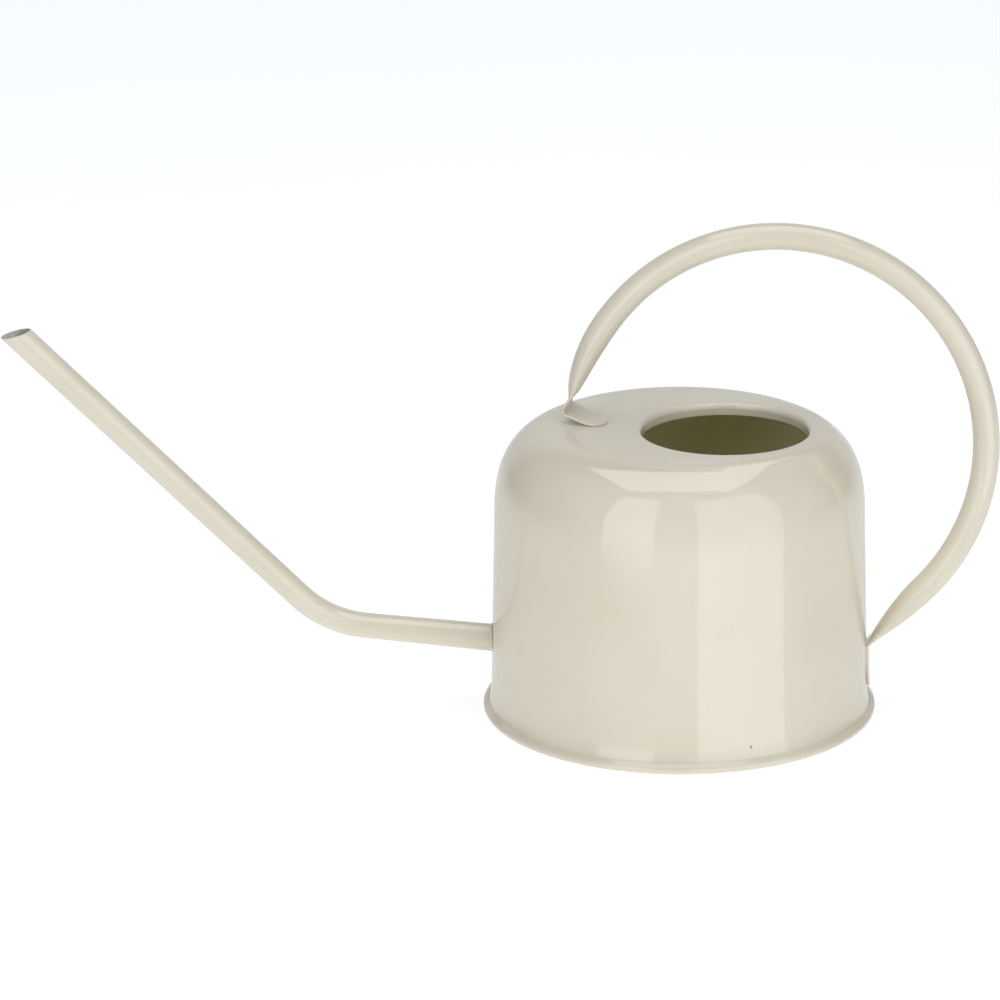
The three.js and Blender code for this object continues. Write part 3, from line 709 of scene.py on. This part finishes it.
def handle_thickness(from_front, from_rear):
    share = min(opened(from_front, FRONT_FLAT, FRONT_RISE, FRONT_POWER),
                opened(from_rear, REAR_FLAT, REAR_RISE, REAR_POWER))
    return TAB_THICKNESS + (HANDLE_THICKNESS - TAB_THICKNESS) * share


def point_along(line, length, distance):
    return np.array([np.interp(distance, length, line[:, k]) for k in (0, 1)])


def handle_tube(material):
    line, length = handle_axis()
    total = length[-1]
    near_ends = np.concatenate([np.linspace(0, TAB_CORNER, 14), np.arange(TAB_CORNER + 0.5, 60, 0.5)])
    stops = np.unique(np.concatenate([near_ends, total - near_ends, np.arange(61, total - 60, 1.5)]))
    outer, inner, tangents = [], [], []
    for s in stops:
        ahead = point_along(line, length, min(s + 0.3, total))
        behind = point_along(line, length, max(s - 0.3, 0))
        q, t = point_along(line, length, s), unit(ahead - behind)
        from_rear = total - s
        thickness = handle_thickness(s, from_rear)
        corner = max(TAB_CORNER - min(s, from_rear), 0) / TAB_CORNER
        narrowing = 2 * TAB_CORNER * (1 - (1 - corner ** TAB_CORNER_POWER) ** (1 / TAB_CORNER_POWER))
        past_twist = smoothstep(s, *TWIST_ENDS)
        twist = FRONT_TAB_TWIST * (1 - past_twist)
        twist -= HANDLE_YAW * past_twist * smoothstep(from_rear, 0, REAR_FLAT)
        skew = REAR_SKEW * (1 - smoothstep(from_rear, *SKEW_ENDS))
        width = np.array([-math.sin(twist), math.cos(twist), skew])
        aside = math.tan(FRONT_TAB_TWIST) * max(q[0] - FRONT_BEND[0], 0) if s < FRONT_TAB_LENGTH else 0
        point, tangent = np.array([q[0], aside, q[1]]), np.array([t[0], 0, t[1]])
        skin = pressed_section(thickness, TUBE_DIAMETER, narrowing)
        bore = pressed_section(thickness - 2 * TUBE_WALL, TUBE_DIAMETER - 2 * TUBE_WALL, narrowing)
        wrapped = 1 - smoothstep(from_rear, *WRAP_ENDS)
        for section, kept in ((skin, outer), (bore, inner)):
            ring = place_section(section, point, tangent, width)
            radius = wall_radius(q[1])
            ring[:, 0] -= wrapped * (radius - np.sqrt(radius ** 2 - ring[:, 1] ** 2))
            kept.append(ring)
        tangents.append(tangent)
    pivot = wall_radius(REAR_BEND_Z)
    for ring in (*outer, *inner):
        ring[:, 1] += (pivot - ring[:, 0]) * HANDLE_YAW
    return tube_piece("handle_tube", outer, inner, (tangents[0], tangents[-1]), material)


# ---- stage ----
CAMERA_FROM_AXIS = Vector((-0.0068, -1.600, 0.6008))
CAMERA_PAN = math.radians(-1.976)
CAMERA_TILT = math.radians(18.173)
CAMERA_ROLL = math.radians(-0.556)
CAMERA_LENS = 175.4


def studio_camera():
    flat = math.cos(CAMERA_TILT)
    forward = Vector((math.sin(CAMERA_PAN) * flat, math.cos(CAMERA_PAN) * flat, -math.sin(CAMERA_TILT)))
    level = Vector((math.cos(CAMERA_PAN), -math.sin(CAMERA_PAN), 0))
    upright = level.cross(forward)
    right = math.cos(CAMERA_ROLL) * level + math.sin(CAMERA_ROLL) * upright
    up = -math.sin(CAMERA_ROLL) * level + math.cos(CAMERA_ROLL) * upright
    lens = bpy.data.cameras.new("camera")
    lens.lens = CAMERA_LENS
    lens.sensor_width = 36
    camera = bpy.data.objects.new("camera", lens)
    turn = Matrix((right, up, -forward)).transposed().to_4x4()
    camera.matrix_world = Matrix.Translation(AXIS + CAMERA_FROM_AXIS) @ turn
    bpy.context.scene.collection.objects.link(camera)
    bpy.context.scene.camera = camera


ROOM_FRONT, ROOM_SIDE, ROOM_BACK = 0.16, 0.04, 0.62
TABLE_FRONT, TABLE_BACK = 0.5, 0.8
LIGHT_TINT = (0.965, 0.98, 1.0)
SKY_TINT = (0.94, 0.975, 1.02)


def tinted(level):
    return tuple(level * share for share in SKY_TINT)


def softbox(name, azimuth, distance, width, low, high, radiance):
    """An upright panel of light that faces the can, from one height to another."""
    light = bpy.data.lights.new(name, "AREA")
    light.shape = "RECTANGLE"
    light.size, light.size_y = width, high - low
    light.energy = radiance * math.pi * width * (high - low)
    light.color = LIGHT_TINT
    panel = bpy.data.objects.new(name, light)
    a = math.radians(azimuth)
    panel.location = AXIS + Vector((distance * math.sin(a), -distance * math.cos(a), (low + high) / 2))
    panel.rotation_euler = (math.radians(90), 0, a)
    panel.visible_camera = False
    bpy.context.scene.collection.objects.link(panel)
    return panel


def ceiling_light(size, height, radiance):
    light = bpy.data.lights.new("ceiling", "AREA")
    light.shape = "SQUARE"
    light.size = size
    light.energy = radiance * math.pi * size * size
    light.color = LIGHT_TINT
    panel = bpy.data.objects.new("ceiling", light)
    panel.location = AXIS + Vector((0, 0.2, height))
    panel.visible_camera = False
    bpy.context.scene.collection.objects.link(panel)


def studio_world():
    """White where the camera sees past the floor. To everything else: grey in front, dark at the sides,
    pale behind, and below the horizon the pale table that the floor stands for in reflections."""
    world = bpy.data.worlds.new("studio")
    bpy.context.scene.world = world
    world.use_nodes = True
    tree = world.node_tree
    tree.nodes.clear()
    output = add(tree, "ShaderNodeOutputWorld")
    path = add(tree, "ShaderNodeLightPath")
    choose = add(tree, "ShaderNodeMixShader")
    surroundings = add(tree, "ShaderNodeBackground", Strength=1.0)
    backdrop = add(tree, "ShaderNodeBackground", Strength=1.0)
    backdrop.inputs["Color"].default_value = (1, 1, 1, 1)
    direction = add(tree, "ShaderNodeSeparateXYZ")
    tree.links.new(add(tree, "ShaderNodeTexCoord").outputs["Generated"], direction.inputs[0])
    backwards = add(tree, "ShaderNodeMapRange", From_Min=-1.0, From_Max=1.0)
    tree.links.new(direction.outputs["Y"], backwards.inputs["Value"])
    room = ramp(tree, backwards.outputs["Result"], [(0.0, tinted(ROOM_FRONT)), (0.55, tinted(ROOM_FRONT)),
                                                    (0.68, tinted(ROOM_SIDE)), (0.84, tinted(ROOM_SIDE)),
                                                    (0.93, tinted(ROOM_BACK))])
    table = ramp(tree, backwards.outputs["Result"], [(0.0, (TABLE_FRONT,) * 3), (0.45, (TABLE_FRONT,) * 3),
                                                     (0.75, (TABLE_BACK,) * 3)])
    above = add(tree, "ShaderNodeMapRange", From_Min=-0.2, From_Max=-0.02)
    tree.links.new(direction.outputs["Z"], above.inputs["Value"])
    tree.links.new(mix(tree, above.outputs["Result"], table, room), surroundings.inputs["Color"])
    tree.links.new(path.outputs["Is Camera Ray"], choose.inputs[0])
    tree.links.new(surroundings.outputs[0], choose.inputs[1])
    tree.links.new(backdrop.outputs[0], choose.inputs[2])
    tree.links.new(choose.outputs[0], output.inputs["Surface"])


def studio_floor():
    half = 3.0
    mesh = bpy.data.meshes.new("floor")
    below = AXIS.z - 0.0002
    signs = ((-1, -1), (1, -1), (1, 1), (-1, 1))
    corners = [(AXIS.x + x * half, AXIS.y + y * half, below) for x, y in signs]
    mesh.from_pydata(corners, [], [(0, 1, 2, 3)])
    mesh.materials.append(floor_acrylic())
    floor = bpy.data.objects.new("floor", mesh)
    bpy.context.scene.collection.objects.link(floor)
    floor.visible_glossy = False


# ---- assembly ----
coat = cream_coat()
body_shell(coat)
base_disc(coat)
spout_tube(coat)
handle_tube(coat)
for node, material in (("base_seal", seam_compound()), ("spout_braze", braze_alloy())):
    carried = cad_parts[node]
    carried.data.materials.clear()
    carried.data.materials.append(material)

studio_camera()
studio_floor()
studio_world()
softbox("softbox_left", -31, 1.5, 0.86, -0.1, 2.0, 1.52)
softbox("softbox_left_low", -31, 1.5, 0.86, -0.35, -0.1, 0.85)
softbox("softbox_right", 38, 1.5, 1.54, -0.6, 2.0, 1.2)
ceiling_light(1.6, 1.8, 1.9)
bpy.context.scene.view_settings.view_transform = "Standard"
